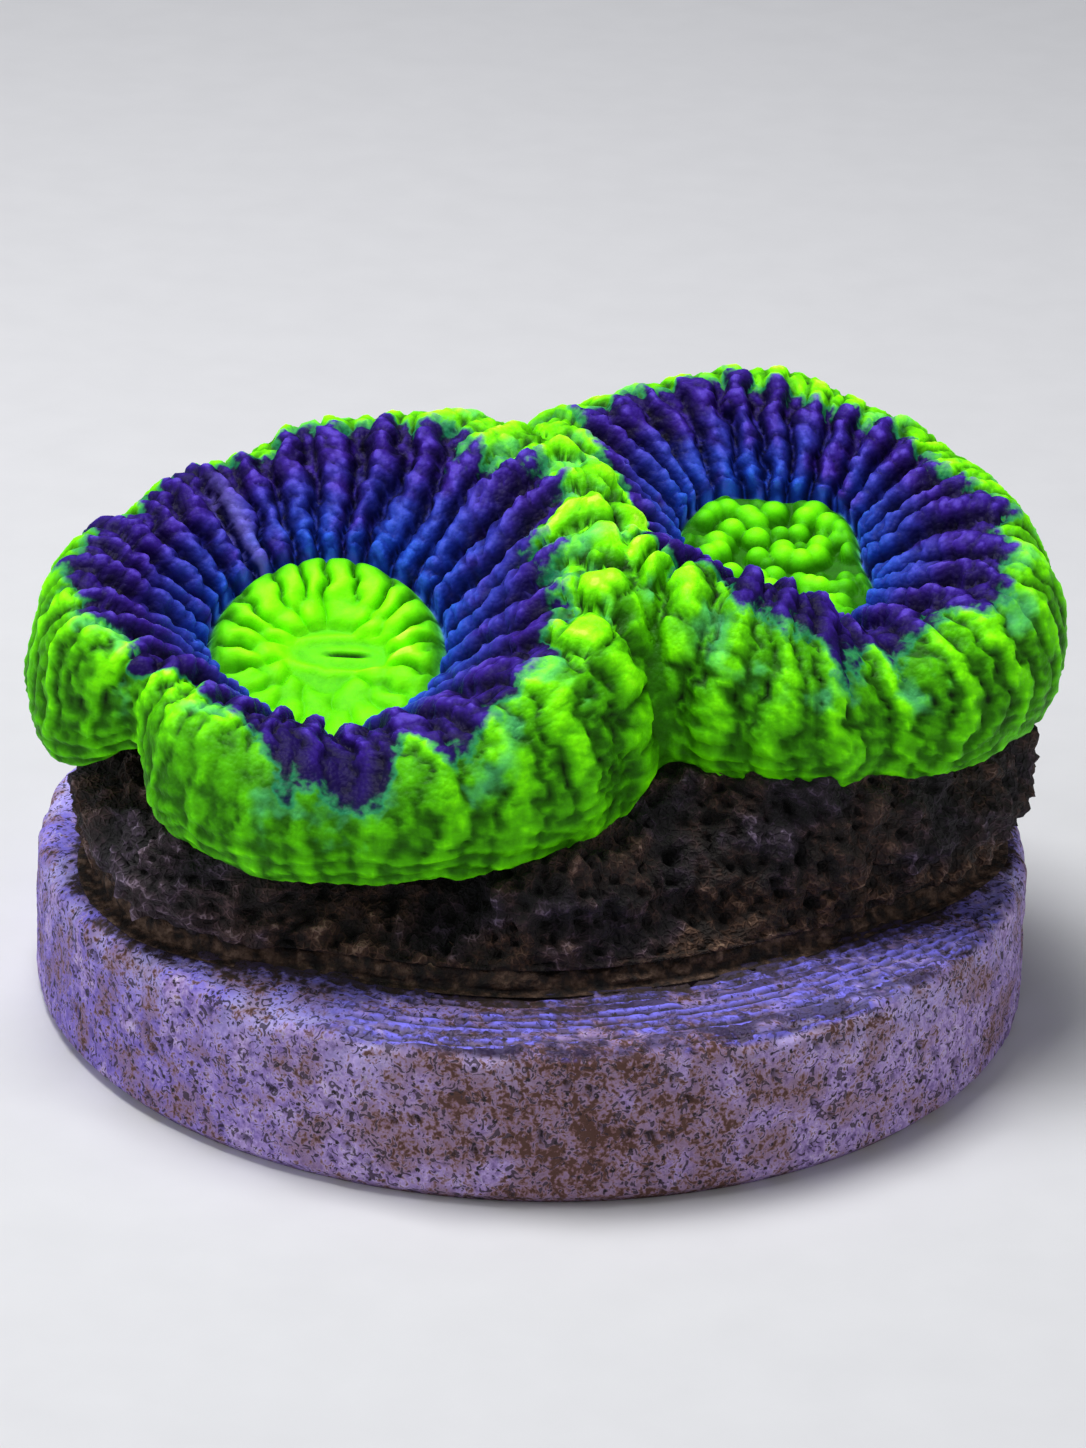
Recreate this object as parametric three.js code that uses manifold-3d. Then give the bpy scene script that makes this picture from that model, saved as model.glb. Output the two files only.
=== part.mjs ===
// A living two-mouthed brain coral, glued to a round ceramic frag disc.
//
// Millimetres, +Z up. The origin is the centre of the disc's flat underside, -Y is the front.
// Three pieces: the ceramic disc, the bed of set glue on it, and the coral, which grew as one piece.
// The coral is two polyps, each a fleshy bowl with a rolled rim, that share a wall and cap a stump of
// their own stony skeleton. The stump is sawn flat underneath, where it stands in the glue.
import * as THREE from "three";
import { mergeVertices } from "three/addons/utils/BufferGeometryUtils.js";
import Module from "manifold-3d";

// Driving dimensions
const DISC_RADIUS = 12.5;
const DISC_THICKNESS = 4.125;
const DISC_TOP_ROUND = 0.85; // radius of the disc's worn upper edge
const DISC_FOOT_BEVEL = 0.3;
const GLUE_THICKNESS = 0.5;
const GLUE_SPREAD = 0.55; // how far the glue squeezes out past the stump's foot
const FOLDS = 48; // radial folds round each polyp, one over each septum
const FOLD_HEIGHT = 0.1; // from a fold's middle height to its crest
const FOLD_STEPS = 2; // mesh columns in each fold: one on its crest and one in its valley
const SEAT_Z = DISC_THICKNESS + GLUE_THICKNESS; // the sawn base of the skeleton

// The section of a polyp, from its mouth outwards
const DISC_MIDDLE = 0.55; // share of the oral disc's radius that is still level with the mouth
const DISC_LIP = 0.25; // how far the oral disc's edge stands above the mouth
// Steps up the bowl: share of the way out to the rim, and share of the way up to it
const BOWL_STEPS = [
  [0.28, 0.2],
  [0.6, 0.66],
  [0.82, 0.93],
];
// Steps down the outer wall: share of the way out to the skirt, and height as a share of the rim's
const WALL_STEPS = [
  [0.42, 0.95],
  [0.78, 0.76],
  [0.98, 0.46],
  [0.98, 0.18],
];
const EDGE_ROUND = 0.5; // how far the flesh's lower edge lies inside the skirt
const TUCK_REACH = 2.2; // how far the flesh tucks in under itself
const TUCK_RISE = 0.35;
const CORE_DEPTH = 1.6; // from the mouth down to the polyp's lowest point, inside the stump
const CREASE_AT_RIM = 0.6; // share of a crease's depth that reaches the rim

// Directions round a polyp or the stump are taken every 30 degrees, from +X towards +Y.
// rimRadius and rimHeight place the crest of the rolled rim, skirtRadius the widest part of the outer
// wall, and skirtHeight the lower edge of the flesh. A pinch is a crease that crosses the wall.
const POLYPS = [
  {
    mouth: [-5.2, -2.2],
    mouthHeight: 9.35,
    discRadius: 2.75, // of the green oral disc
    discTilt: 0.2, // rise of the oral disc towards the back, per millimetre
    rimRadius: [6.6, 7.0, 6.8, 6.1, 5.7, 5.5, 5.9, 6.1, 5.5, 4.9, 6.2, 7.0],
    rimHeight: [12.7, 12.9, 13.0, 12.9, 12.5, 12.1, 11.7, 11.0, 10.2, 9.8, 10.2, 11.6],
    skirtRadius: [8.6, 8.6, 8.4, 7.6, 7.2, 6.9, 7.0, 7.3, 7.0, 7.6, 8.1, 8.8],
    skirtHeight: [8.2, 8.2, 8.0, 8.0, 8.0, 8.0, 7.7, 7.4, 7.1, 6.8, 6.9, 7.5],
    pinches: [
      { at: 217, width: 9, depth: 1.1, lift: 0.9, dip: 0.1 },
      { at: 277, width: 8, depth: 0.3, lift: 0.0, dip: 0.45 },
    ],
  },
  {
    mouth: [5.9, 1.4],
    mouthHeight: 10.75,
    discRadius: 2.35,
    discTilt: 0.2,
    rimRadius: [5.2, 4.7, 4.9, 5.3, 5.8, 6.1, 4.9, 4.9, 4.9, 4.5, 5.3, 6.0],
    rimHeight: [12.6, 12.7, 13.3, 13.7, 13.6, 13.3, 13.0, 12.8, 12.4, 11.9, 11.2, 11.8],
    skirtRadius: [6.8, 6.5, 6.7, 6.9, 7.3, 7.7, 6.6, 6.8, 7.4, 7.4, 7.6, 7.6],
    skirtHeight: [8.6, 8.8, 8.8, 8.8, 8.6, 8.4, 8.3, 8.3, 8.2, 8.0, 8.0, 8.2],
    pinches: [{ at: 292, width: 8, depth: 0.4, lift: 0.0, dip: 0.5 }],
  },
];
const STUMP = {
  axis: [0.3, -1.0],
  footRadius: [11.1, 10.9, 10.2, 9.0, 8.8, 9.8, 11.2, 11.1, 10.1, 9.0, 8.4, 9.1],
  waistRadius: [12.0, 11.2, 9.8, 8.2, 8.0, 9.6, 11.4, 11.2, 9.6, 8.0, 7.0, 9.2],
  topRadius: [11.3, 10.2, 8.8, 6.8, 6.2, 8.0, 10.4, 9.6, 8.4, 6.2, 4.8, 8.4],
  waistHeight: 6.3,
  topHeight: 9.0,
};
const STUMP_COLUMNS = 72;
const SHOULDER = 0.5; // height of the stump's sloped upper edge, hidden in the flesh

// The value of a list of keys spaced evenly round a circle, at an angle in radians, smoothly joined.
function keyed(keys, angle) {
  const at = (((angle / (2 * Math.PI)) % 1) + 1) % 1 * keys.length;
  const i = Math.floor(at);
  const f = at - i;
  const [a, b, c, d] = [-1, 0, 1, 2].map((k) => keys[(i + k + keys.length) % keys.length]);
  return b + 0.5 * f * (c - a + f * (2 * a - 5 * b + 4 * c - d + f * (3 * (b - c) + d - a)));
}

// How strongly a pinch acts at an angle: 1 in its crease, fading to 0 over its width in degrees.
function pinchShare(pinch, angle) {
  const turn = THREE.MathUtils.radToDeg(angle) - pinch.at;
  const away = ((((turn + 180) % 360) + 360) % 360) - 180;
  return Math.exp(-((away / pinch.width) ** 2));
}

// Stacks closed rings of equal length into one closed surface, with a pole point at each end.
// The rings run anticlockwise seen from above, starting at the upper pole.
function loft(topPole, rings, bottomPole) {
  const columns = rings[0].length;
  const points = [topPole, ...rings.flat(), bottomPole];
  const last = points.length - 1;
  const at = (row, column) => 1 + row * columns + (column % columns);
  const triangles = [];
  for (let c = 0; c < columns; c++) {
    triangles.push(0, at(0, c), at(0, c + 1));
    for (let r = 0; r + 1 < rings.length; r++) {
      triangles.push(at(r, c), at(r + 1, c), at(r + 1, c + 1));
      triangles.push(at(r, c), at(r + 1, c + 1), at(r, c + 1));
    }
    triangles.push(last, at(rings.length - 1, c + 1), at(rings.length - 1, c));
  }
  const geometry = new THREE.BufferGeometry().setFromPoints(points);
  geometry.setIndex(triangles);
  return geometry;
}

// The rings of points that a profile function sweeps round an upright axis. profile(angle, column)
// gives the section there as Vector2 points of radius and height.
function sweep(axis, columns, profile) {
  const sections = Array.from({ length: columns }, (_, column) => {
    const angle = (2 * Math.PI * column) / columns;
    return profile(angle, column).map(
      (p) => new THREE.Vector3(axis[0] + p.x * Math.cos(angle), axis[1] + p.x * Math.sin(angle), p.y),
    );
  });
  return sections[0].map((_, row) => sections.map((section) => section[row]));
}

// One polyp as a solid cushion: oral disc, bowl, rolled rim, outer wall and the tuck under the flesh.
function polypGeometry(polyp) {
  const { discRadius, discTilt, mouthHeight } = polyp;
  const columns = FOLDS * FOLD_STEPS;
  const profile = (angle, column) => {
    const pinches = polyp.pinches.map((p) => ({ ...p, share: pinchShare(p, angle) }));
    const sum = (key) => pinches.reduce((total, p) => total + p.share * p[key], 0);
    const rim = new THREE.Vector2(
      keyed(polyp.rimRadius, angle) - CREASE_AT_RIM * sum("depth"),
      keyed(polyp.rimHeight, angle) - sum("dip"),
    );
    const skirt = keyed(polyp.skirtRadius, angle) - sum("depth");
    const edge = keyed(polyp.skirtHeight, angle) + sum("lift");
    const slope = discTilt * discRadius * Math.sin(angle);
    const discEdge = new THREE.Vector2(discRadius, mouthHeight + DISC_LIP + slope);
    const bowl = BOWL_STEPS.map(
      ([out, up]) =>
        new THREE.Vector2(
          THREE.MathUtils.lerp(discEdge.x, rim.x, out),
          THREE.MathUtils.lerp(discEdge.y, rim.y, up),
        ),
    );
    const wall = WALL_STEPS.map(
      ([out, up]) =>
        new THREE.Vector2(
          THREE.MathUtils.lerp(rim.x, skirt, out),
          THREE.MathUtils.lerp(edge, rim.y, up),
        ),
    );
    const section = [
      new THREE.Vector2(DISC_MIDDLE * discRadius, mouthHeight + DISC_MIDDLE * slope),
      discEdge,
      ...bowl,
      rim,
      ...wall,
      new THREE.Vector2(skirt - EDGE_ROUND, edge),
      new THREE.Vector2(skirt - TUCK_REACH, edge + TUCK_RISE),
    ];
    // Folds stand out from the bowl and the outer wall, along the section's own normal.
    const side = column % FOLD_STEPS ? -1 : 1;
    return section.map((point, row) => {
      if (row < 2 || row > section.length - 3) return point;
      const along = section[row + 1].clone().sub(section[row - 1]).normalize();
      const outward = new THREE.Vector2(-along.y, along.x);
      return point.clone().addScaledVector(outward, side * FOLD_HEIGHT);
    });
  };
  const rings = sweep(polyp.mouth, columns, profile);
  return loft(
    new THREE.Vector3(...polyp.mouth, mouthHeight),
    rings,
    new THREE.Vector3(...polyp.mouth, mouthHeight - CORE_DEPTH),
  );
}

// The stony skeleton under the flesh: a squat oval column, sawn flat at its foot.
function stumpGeometry() {
  const profile = (angle) => {
    const foot = keyed(STUMP.footRadius, angle);
    const waist = keyed(STUMP.waistRadius, angle);
    const top = keyed(STUMP.topRadius, angle);
    return [
      new THREE.Vector2(top - 3 * SHOULDER, STUMP.topHeight),
      new THREE.Vector2(top, STUMP.topHeight - SHOULDER),
      new THREE.Vector2((top + waist) / 2, (STUMP.topHeight + STUMP.waistHeight) / 2),
      new THREE.Vector2(waist, STUMP.waistHeight),
      new THREE.Vector2((foot + waist) / 2, (SEAT_Z + STUMP.waistHeight) / 2),
      new THREE.Vector2(foot, SEAT_Z),
    ];
  };
  return loft(
    new THREE.Vector3(...STUMP.axis, STUMP.topHeight),
    sweep(STUMP.axis, STUMP_COLUMNS, profile),
    new THREE.Vector3(...STUMP.axis, SEAT_Z),
  );
}

// The set glue: a thin pad with a rounded squeeze-out all round the stump's foot.
function glueGeometry() {
  const profile = (angle) => {
    const foot = keyed(STUMP.footRadius, angle);
    const spread = GLUE_SPREAD * (1 + 0.35 * Math.sin(3 * angle + 1) + 0.2 * Math.sin(7 * angle));
    const reach = Math.min(foot + spread, discReach(angle));
    return [
      new THREE.Vector2(reach - 0.35, SEAT_Z),
      new THREE.Vector2(reach - 0.08, SEAT_Z - 0.15),
      new THREE.Vector2(reach, DISC_THICKNESS),
    ];
  };
  return loft(
    new THREE.Vector3(...STUMP.axis, SEAT_Z),
    sweep(STUMP.axis, STUMP_COLUMNS, profile),
    new THREE.Vector3(...STUMP.axis, DISC_THICKNESS),
  );
}

// How far from the stump's axis the flat top of the disc reaches in a direction.
function discReach(angle) {
  const flat = DISC_RADIUS - DISC_TOP_ROUND - 0.05;
  const [x, y] = STUMP.axis;
  const along = x * Math.cos(angle) + y * Math.sin(angle);
  return -along + Math.sqrt(along ** 2 + flat ** 2 - x ** 2 - y ** 2);
}

// The pressed ceramic disc, turned about its axis: flat underneath and on top, with a worn upper edge.
function discGeometry() {
  const outline = new THREE.Path();
  outline.moveTo(0, 0);
  outline.lineTo(DISC_RADIUS - DISC_FOOT_BEVEL, 0);
  outline.lineTo(DISC_RADIUS, DISC_FOOT_BEVEL);
  outline.lineTo(DISC_RADIUS, DISC_THICKNESS - DISC_TOP_ROUND);
  outline.absarc(
    DISC_RADIUS - DISC_TOP_ROUND,
    DISC_THICKNESS - DISC_TOP_ROUND,
    DISC_TOP_ROUND,
    0,
    Math.PI / 2,
  );
  outline.lineTo(0, DISC_THICKNESS);
  const geometry = new THREE.LatheGeometry(outline.getPoints(5), 96);
  return geometry.rotateX(Math.PI / 2); // the lathe turns about Y, and the disc stands on Z
}

const wasm = await Module();
wasm.setup();

// A closed three.js geometry as a manifold-3d solid.
function solid(geometry) {
  const bare = geometry.clone();
  bare.deleteAttribute("normal");
  bare.deleteAttribute("uv");
  const merged = mergeVertices(bare, 1e-4);
  return new wasm.Manifold(
    new wasm.Mesh({
      numProp: 3,
      vertProperties: new Float32Array(merged.getAttribute("position").array),
      triVerts: new Uint32Array(merged.getIndex().array),
    }),
  );
}

// A manifold-3d solid as a three.js geometry.
function geometryOf(made) {
  const mesh = made.getMesh();
  const geometry = new THREE.BufferGeometry();
  geometry.setAttribute("position", new THREE.BufferAttribute(mesh.vertProperties, 3));
  geometry.setIndex(new THREE.BufferAttribute(mesh.triVerts, 1));
  geometry.computeVertexNormals();
  return geometry;
}

function piece(name, geometry, look) {
  const mesh = new THREE.Mesh(geometry, new THREE.MeshStandardMaterial(look));
  mesh.name = name;
  return mesh;
}

const polyps = POLYPS.map((polyp) => solid(polypGeometry(polyp)));
const coral = polyps.reduce((whole, polyp) => whole.add(polyp), solid(stumpGeometry()));

const part = new THREE.Group();
part.add(piece("frag_disc", discGeometry(), { color: "#9a8cc4", roughness: 0.85, metalness: 0 }));
part.add(piece("glue_bed", glueGeometry(), { color: "#4a3a34", roughness: 0.7, metalness: 0 }));
part.add(piece("coral", geometryOf(coral), { color: "#5fd40f", roughness: 0.45, metalness: 0 }));

export default part;
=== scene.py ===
"""A live two-mouthed brain coral, glued to its ceramic frag disc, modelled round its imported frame.

Lengths are in millimetres until a mesh is made, which turns them to metres. +Z is up and -Y is the front.
"""

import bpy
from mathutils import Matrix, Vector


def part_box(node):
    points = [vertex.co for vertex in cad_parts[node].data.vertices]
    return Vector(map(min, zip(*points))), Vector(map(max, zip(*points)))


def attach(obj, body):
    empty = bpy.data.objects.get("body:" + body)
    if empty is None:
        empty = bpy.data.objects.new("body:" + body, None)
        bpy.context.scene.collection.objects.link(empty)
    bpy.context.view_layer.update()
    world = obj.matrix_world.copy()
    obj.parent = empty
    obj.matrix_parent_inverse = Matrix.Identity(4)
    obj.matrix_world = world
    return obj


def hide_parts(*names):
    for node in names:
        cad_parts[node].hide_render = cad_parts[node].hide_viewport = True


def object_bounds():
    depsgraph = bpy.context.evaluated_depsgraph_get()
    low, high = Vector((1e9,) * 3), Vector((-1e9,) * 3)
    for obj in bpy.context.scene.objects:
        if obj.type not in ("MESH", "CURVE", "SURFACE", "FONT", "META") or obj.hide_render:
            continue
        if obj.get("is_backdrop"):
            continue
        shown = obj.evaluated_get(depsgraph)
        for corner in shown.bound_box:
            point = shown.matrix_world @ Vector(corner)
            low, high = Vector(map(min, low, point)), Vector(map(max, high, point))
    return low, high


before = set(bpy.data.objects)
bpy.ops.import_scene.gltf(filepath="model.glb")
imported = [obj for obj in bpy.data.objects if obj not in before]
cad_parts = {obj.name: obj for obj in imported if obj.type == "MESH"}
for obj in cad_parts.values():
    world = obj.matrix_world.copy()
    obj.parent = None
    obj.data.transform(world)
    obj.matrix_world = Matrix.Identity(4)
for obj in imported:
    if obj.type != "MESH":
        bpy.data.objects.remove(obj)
CAD_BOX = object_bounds()

import ast
import logging
import math
from dataclasses import dataclass, field
from enum import IntEnum

import bpy
import numpy as np
from mathutils import Matrix, Vector
from mathutils.kdtree import KDTree

MM = 0.001
BODY = "root"
log = logging.getLogger("coral")

Socket = bpy.types.NodeSocket
Colour = tuple[float, float, float, float]

# Blender's names for the kinds of node that are used most.
NOISE = "ShaderNodeTexNoise"
CELLS = "ShaderNodeTexVoronoi"
RAMP = "ShaderNodeValToRGB"
MATHS = "ShaderNodeMath"
VECTOR_MATHS = "ShaderNodeVectorMath"
SPLIT = "ShaderNodeSeparateXYZ"
BUMP = "ShaderNodeBump"

# The skeleton's foot, which the glue and the film on the disc follow. Directions are every 30 degrees.
FOOT_AXIS = (0.3, -1.0)
FOOT_RADIUS = (11.1, 10.9, 10.2, 9.0, 8.8, 9.8, 11.0, 11.2, 9.0, 8.3, 8.1, 9.0)


class Row(IntEnum):
    """Landmarks of a polyp's section, counted from the mouth outwards and over the rim."""

    MOUTH = 0
    DISC_MIDDLE = 1
    DISC_EDGE = 2
    BOWL_FOOT = 3
    BOWL_SIDE = 4
    BOWL_LIP = 5
    RIM = 6
    SHOULDER = 7
    UPPER_WALL = 8
    SKIRT = 9
    LOWER_WALL = 10
    MARGIN = 11
    TUCK = 12
    CORE = 13


# ---------------------------------------------------------------- small tools


def linear(hex_code: str) -> Colour:
    """Turns an sRGB hex colour to the linear values that shaders take.

    Args:
        hex_code: Six hex digits after a hash.

    Returns:
        Red, green, blue and an alpha of 1.
    """
    parts = [int(hex_code[i : i + 2], 16) / 255 for i in (1, 3, 5)]
    red, green, blue = (p / 12.92 if p <= 0.04045 else ((p + 0.055) / 1.055) ** 2.4 for p in parts)
    return red, green, blue, 1.0


def add_node(
    tree: bpy.types.NodeTree, kind: str, inputs: list | dict | None = None, **settings: object
) -> bpy.types.Node:
    """Adds a node to a tree, with its settings, values and links.

    Args:
        tree: The shader or geometry tree.
        kind: Blender's name for the kind of node.
        inputs: Values or sockets, in order, or keyed by an input's name or number.
        settings: Properties of the node, and for a colour ramp its stops, hex colours keyed by place.

    Returns:
        The new node.
    """
    node = tree.nodes.new(kind)
    stops = settings.pop("stops", {})
    while len(stops) > len(node.color_ramp.elements if stops else ()):
        node.color_ramp.elements.new(0.5)
    for i, (at, code) in enumerate(stops.items()):
        node.color_ramp.elements[i].position = at
        node.color_ramp.elements[i].color = linear(code)
    for name, value in settings.items():
        setattr(node, name, value)
    pairs = inputs.items() if isinstance(inputs, dict) else enumerate(inputs or [])
    for key, value in pairs:
        if isinstance(value, Socket):
            tree.links.new(value, node.inputs[key])
        else:
            node.inputs[key].default_value = value
    return node


def texture(
    tree: bpy.types.NodeTree,
    kind: str,
    place: Socket,
    size: float,
    inputs: dict | None = None,
    **settings: object,
) -> Socket:
    """Adds a noise or cell texture whose features are a real size.

    Args:
        tree: The shader or geometry tree.
        kind: Blender's name for the texture node.
        place: The place on the piece, in millimetres.
        size: The size of one feature, in millimetres.
        inputs: Its other inputs, such as its detail or randomness.
        settings: Properties of the node.

    Returns:
        The texture's first output: the noise, or the distance into a cell.
    """
    given = {"Vector": place, "Scale": 1 / size} | (inputs or {})
    return add_node(tree, kind, given, **settings).outputs[0]


OPERATIONS = {
    ast.Add: "ADD",
    ast.Sub: "SUBTRACT",
    ast.Mult: "MULTIPLY",
    ast.Div: "DIVIDE",
    ast.Pow: "POWER",
    "sin": "SINE",
    "cos": "COSINE",
    "sqrt": "SQRT",
    "abs": "ABSOLUTE",
    "exp": "EXPONENT",
    "max": "MAXIMUM",
    "min": "MINIMUM",
    "floor": "FLOOR",
    "fract": "FRACT",
    "above": "GREATER_THAN",
}


def formula(tree: bpy.types.NodeTree, text: str, **values: object) -> Socket:
    """Builds a formula out of math nodes.

    Besides arithmetic it knows the functions in OPERATIONS, and smooth(low, high, x), which eases
    from 0 at low to 1 at high. A minus sign stands between two things, so minus x is written 0 - x.

    Args:
        tree: The shader or geometry tree.
        text: The formula, in ordinary arithmetic.
        values: A number or socket for each name in the formula.

    Returns:
        The socket that holds the result.
    """

    def build(part: ast.AST) -> object:
        """Builds one part of the formula.

        Args:
            part: A number, a name, a sum or a function within the formula.

        Returns:
            The part's number or socket.
        """
        if isinstance(part, ast.Constant):
            return float(part.value)
        if isinstance(part, ast.Name):
            return values[part.id]
        if isinstance(part, ast.BinOp):
            sides = [build(part.left), build(part.right)]
            return add_node(tree, MATHS, sides, operation=OPERATIONS[type(part.op)]).outputs[0]
        given = [build(each) for each in part.args]
        if part.func.id == "smooth":
            low, high, x = given
            span = [x, low, high, 0.0, 1.0]
            return add_node(tree, "ShaderNodeMapRange", span, interpolation_type="SMOOTHSTEP").outputs[0]
        return add_node(tree, MATHS, given, operation=OPERATIONS[part.func.id]).outputs[0]

    return build(ast.parse(text).body[0].value)


def coated(tree: bpy.types.NodeTree, ground: object, coats: list[tuple[Socket, object]]) -> Socket:
    """Lays coats of colour over a ground, one after another.

    Args:
        tree: The shader tree.
        ground: The first colour.
        coats: For each coat, how much of it shows, from 0 to 1, and its colour.

    Returns:
        The colour on top.
    """
    for share, colour in coats:
        mix = add_node(tree, "ShaderNodeMix", {0: share, 6: ground, 7: colour}, data_type="RGBA")
        ground = mix.outputs[2]
    return ground


def keyed(keys: list[float], angle: np.ndarray) -> np.ndarray:
    """Joins values spaced evenly round a circle by a smooth closed curve.

    Args:
        keys: The values, from +X towards +Y.
        angle: Where to read the curve, in radians.

    Returns:
        The curve's value at each angle.
    """
    values = np.asarray(keys, float)
    place = (np.asarray(angle) / (2 * np.pi) % 1) * len(values)
    index = np.floor(place).astype(int)
    f = place - index
    a, b, c, d = (values[(index + k) % len(values)] for k in (-1, 0, 1, 2))
    return b + 0.5 * f * (c - a + f * (2 * a - 5 * b + 4 * c - d + f * (3 * (b - c) + d - a)))


def flow(points: np.ndarray, steps: tuple[int, ...]) -> tuple[np.ndarray, np.ndarray]:
    """Runs smooth curves through rows of points, for all columns at once.

    Args:
        points: Row by column by coordinate.
        steps: How many steps to take from each row of points to the next.

    Returns:
        The finer rows, and each one's place counted in the given rows.
    """
    before = np.concatenate([2 * points[:1] - points[1:2], points, 2 * points[-1:] - points[-2:-1]])
    rows, places = [], []
    for i, count in enumerate(steps):
        a, b, c, d = before[i : i + 4]
        for f in np.arange(count) / count:
            rows.append(b + 0.5 * f * (c - a + f * (2 * a - 5 * b + 4 * c - d + f * (3 * (b - c) + d - a))))
            places.append(i + f)
    rows.append(points[-1])
    places.append(float(len(steps)))
    return np.array(rows), np.array(places)


def turned_solid(name: str, centre: tuple[float, float], rows: np.ndarray) -> bpy.types.Object:
    """Makes a closed mesh from sections set round an upright axis.

    Args:
        name: The object's name.
        centre: The axis, in plan.
        rows: Row by column by radius and height, from the top pole to the bottom pole.

    Returns:
        The object, with one vertex at each pole and the rest ring by ring.
    """
    columns = rows.shape[1]
    angle = 2 * np.pi * np.arange(columns) / columns
    rings = rows[1:-1]
    x = centre[0] + rings[..., 0] * np.cos(angle)
    y = centre[1] + rings[..., 0] * np.sin(angle)
    body = np.stack([x, y, rings[..., 1]], axis=-1).reshape(-1, 3)
    top = [*centre, rows[0, 0, 1]]
    bottom = [*centre, rows[-1, 0, 1]]
    points = np.vstack([[top], body, [bottom]]) * MM
    here = np.arange(columns)
    after = (here + 1) % columns
    count = len(rings)
    quads = []
    for r in range(count - 1):
        start, below = 1 + r * columns, 1 + (r + 1) * columns
        quads.append(np.stack([start + here, below + here, below + after, start + after], axis=1))
    end = 1 + (count - 1) * columns
    caps = [(0, 1 + a, 1 + b) for a, b in zip(here.tolist(), after.tolist())]
    caps += [(len(points) - 1, end + b, end + a) for a, b in zip(here.tolist(), after.tolist())]
    mesh = bpy.data.meshes.new(name)
    mesh.from_pydata(points.tolist(), [], np.concatenate(quads).tolist() + caps)
    mesh.shade_smooth()
    piece = bpy.data.objects.new(name, mesh)
    bpy.context.scene.collection.objects.link(piece)
    return piece


def ring_values(places: np.ndarray, columns: int) -> np.ndarray:
    """Spreads one value for each row over the points of a turned solid."""
    return np.concatenate([places[:1], np.repeat(places[1:-1], columns), places[-1:]])


def store(mesh: bpy.types.Mesh, name: str, values: np.ndarray) -> None:
    """Writes one number for each of a mesh's points, under a name that nodes can read."""
    layer = mesh.attributes.new(name, "FLOAT", "POINT")
    layer.data.foreach_set("value", np.asarray(values, np.float32))


def points_of(mesh: bpy.types.Mesh) -> np.ndarray:
    """Reads a mesh's points.

    Args:
        mesh: The mesh, in metres.

    Returns:
        One row for each point, in millimetres.
    """
    flat = np.empty(3 * len(mesh.vertices), np.float32)
    mesh.vertices.foreach_get("co", flat)
    return flat.reshape(-1, 3).astype(float) / MM


def near(angle: np.ndarray, middle: float, width: float) -> np.ndarray:
    """A soft bump of 1 round an angle in degrees, that fades over a width in degrees."""
    away = (np.degrees(angle) - middle + 180) % 360 - 180
    return np.exp(-((away / width) ** 2))


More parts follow.
